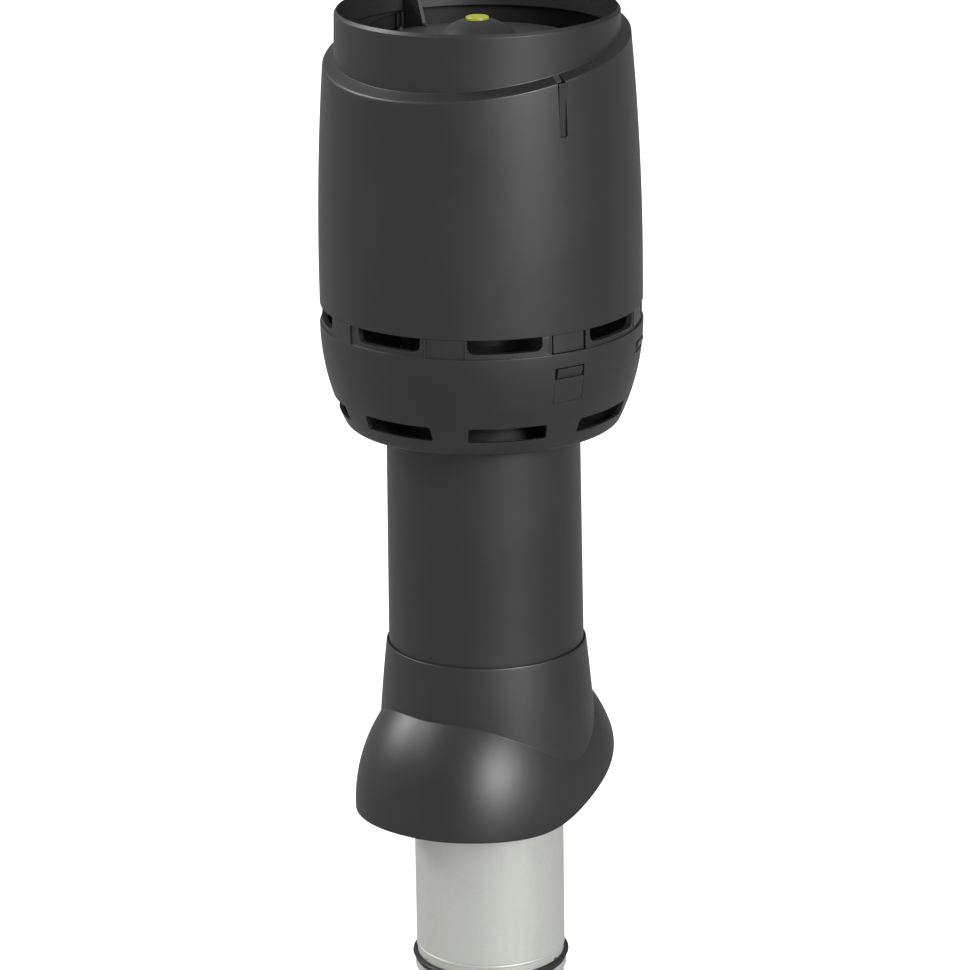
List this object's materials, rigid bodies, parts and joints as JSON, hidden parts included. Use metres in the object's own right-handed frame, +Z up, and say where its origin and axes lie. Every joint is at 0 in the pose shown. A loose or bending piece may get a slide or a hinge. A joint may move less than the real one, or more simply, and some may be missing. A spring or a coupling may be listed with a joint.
{
  "type": "roof vent pipe",
  "caption": "Upright roof vent pipe: a steel duct in a plastic pipe, with a slotted cowl over a nozzle and a sliding skirt that covers the hole in the roof.",
  "frame": {"origin": "on the axis at the spigot's lower end", "axes": "+Z up along the duct, +Y uphill on the roof, -Y downhill"},
  "size_m": [0.2618, 0.2618, 0.8466],
  "materials": {
    "black_plastic": "fine moulded grain, matt",
    "black_rubber": "soft, dull",
    "galvanised_steel": "zinc coated, dull grey",
    "bright_steel": "plain zinc plated",
    "yellow_plastic": "smooth, slightly shiny",
    "mineral_wool": "pressed fibres"
  },
  "bodies": {
    "vent": {"inner_duct": "galvanised_steel", "duct_spigot": "galvanised_steel", "spigot_rivets": "bright_steel", "duct_gasket": "black_rubber", "gasket_band": "galvanised_steel", "outer_pipe": "black_plastic", "insulation_sleeve": "mineral_wool", "lower_ring": "black_plastic", "upper_ring": "black_plastic", "cowl_bowl": "black_plastic", "bowl_seal": "black_rubber", "bowl_screws": "bright_steel", "jet_nozzle": "black_plastic", "nozzle_rivets": "bright_steel", "cowl_shell": "black_plastic", "rain_disc": "black_plastic", "flow_core": "black_plastic", "stay_near": "black_plastic", "stay_far": "black_plastic", "stay_screws": "bright_steel", "button_spring": "bright_steel"},
    "button": {"yellow_button": "yellow_plastic", "button_clip": "bright_steel"},
    "seal": {"neck_seal": "black_rubber", "seal_carrier": "black_plastic"},
    "skirt": {"roof_skirt": "black_plastic"}
  },
  "joints": [
    {"name": "button_press", "type": "slide", "parent": "vent", "child": "button", "axis": [0, 0, -1], "range_m": [0, 0.003], "stiffness_N_per_m": 800, "springref_m": -0.001, "deforming": ["button_spring"]},
    {"name": "skirt_slide", "type": "slide", "parent": "vent", "child": "seal", "axis": [0, 0, 1], "range_m": [-0.07, 0.18]},
    {"name": "skirt_turn", "type": "hinge", "parent": "seal", "child": "skirt", "pos_m": [0, 0, 0.2845], "axis": [0, 0, 1], "continuous": true}
  ]
}
